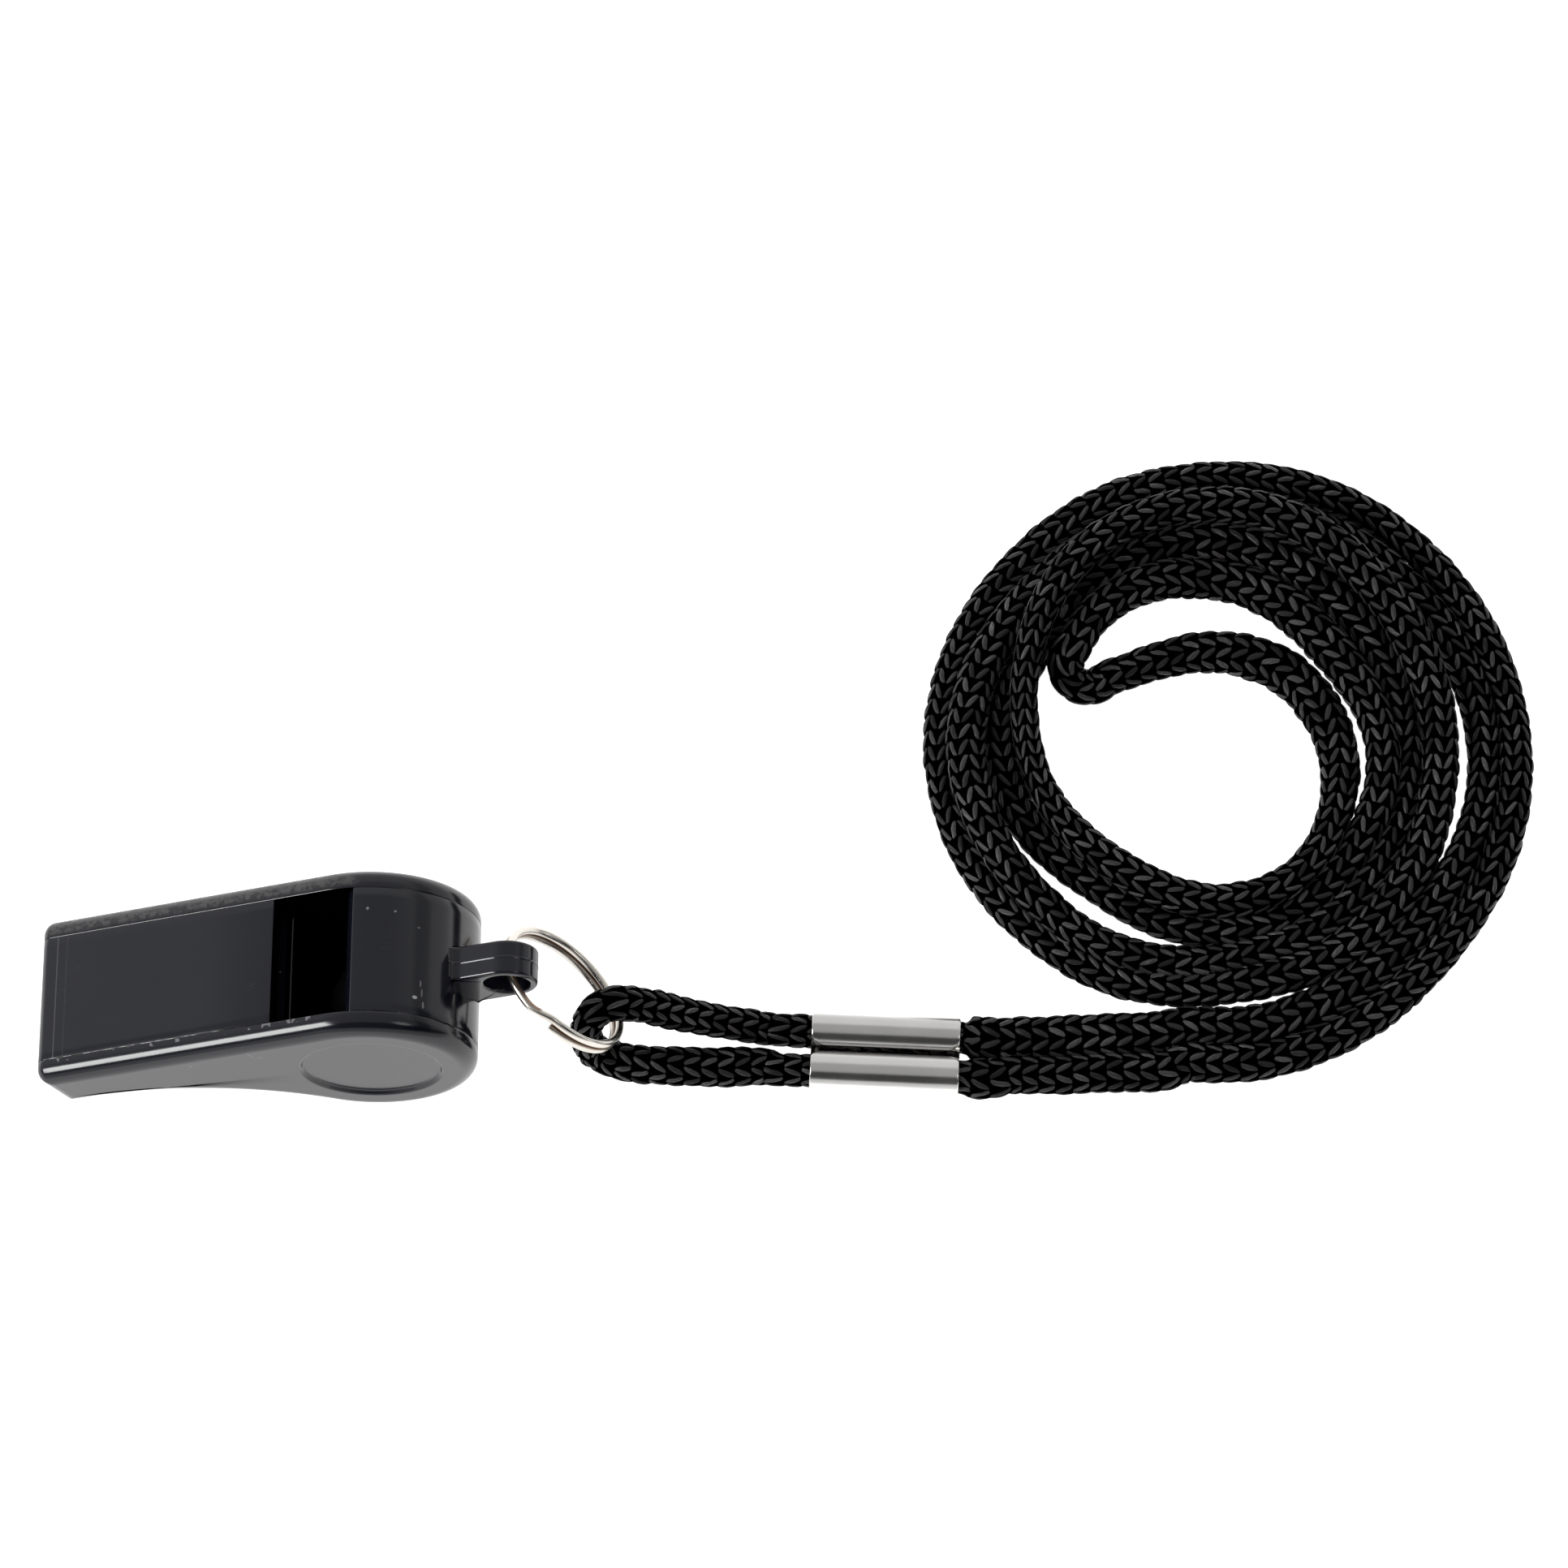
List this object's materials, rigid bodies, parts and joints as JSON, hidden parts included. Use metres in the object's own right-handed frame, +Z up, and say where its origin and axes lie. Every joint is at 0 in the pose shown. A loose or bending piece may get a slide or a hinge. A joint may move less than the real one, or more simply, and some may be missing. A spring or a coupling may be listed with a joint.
{
  "type": "sports whistle",
  "caption": "Black pea whistle with a round chamber, side finger recesses, a lug with a split ring, and a knitted neck cord in a metal clip, laid in a coil.",
  "frame": {"origin": "on the table, below the middle of the whistle and its ring, without the cord and its clip", "axes": "+X from the mouthpiece to the ring and the cord, +Y across the whistle, away from the viewer, +Z up from the table"},
  "size_m": [0.1575, 0.075, 0.022],
  "materials": {
    "body_plastic": "moulded black plastic with a soft gloss",
    "plate_plastic": "moulded black plastic with a soft gloss",
    "pea_plastic": "black moulded plastic, matte",
    "ring_wire": "nickel-plated spring wire",
    "clip_sheet": "bright nickel-plated sheet",
    "cord_knit": "black knitted cord"
  },
  "bodies": {
    "whistle": {"centre_band": "body_plastic", "front_side_plate": "plate_plastic", "back_side_plate": "plate_plastic", "cord_clip": "clip_sheet", "cord_eye": "cord_knit", "front_cord_lead": "cord_knit", "back_cord_lead": "cord_knit", "neck_coil": "cord_knit"},
    "pea": {"pea": "pea_plastic"},
    "split_ring": {"split_ring": "ring_wire"}
  },
  "joints": [
    {"name": "pea_orbit", "type": "hinge", "parent": "whistle", "child": "pea", "pos_m": [0.0046, 0, 0.011], "axis": [0, 1, 0], "continuous": true},
    {"name": "ring_swing", "type": "hinge", "parent": "whistle", "child": "split_ring", "pos_m": [0.01867, 0, 0.01705], "axis": [0, -1, 0], "range_deg": [0, 30], "deforming": ["cord_eye"]}
  ]
}
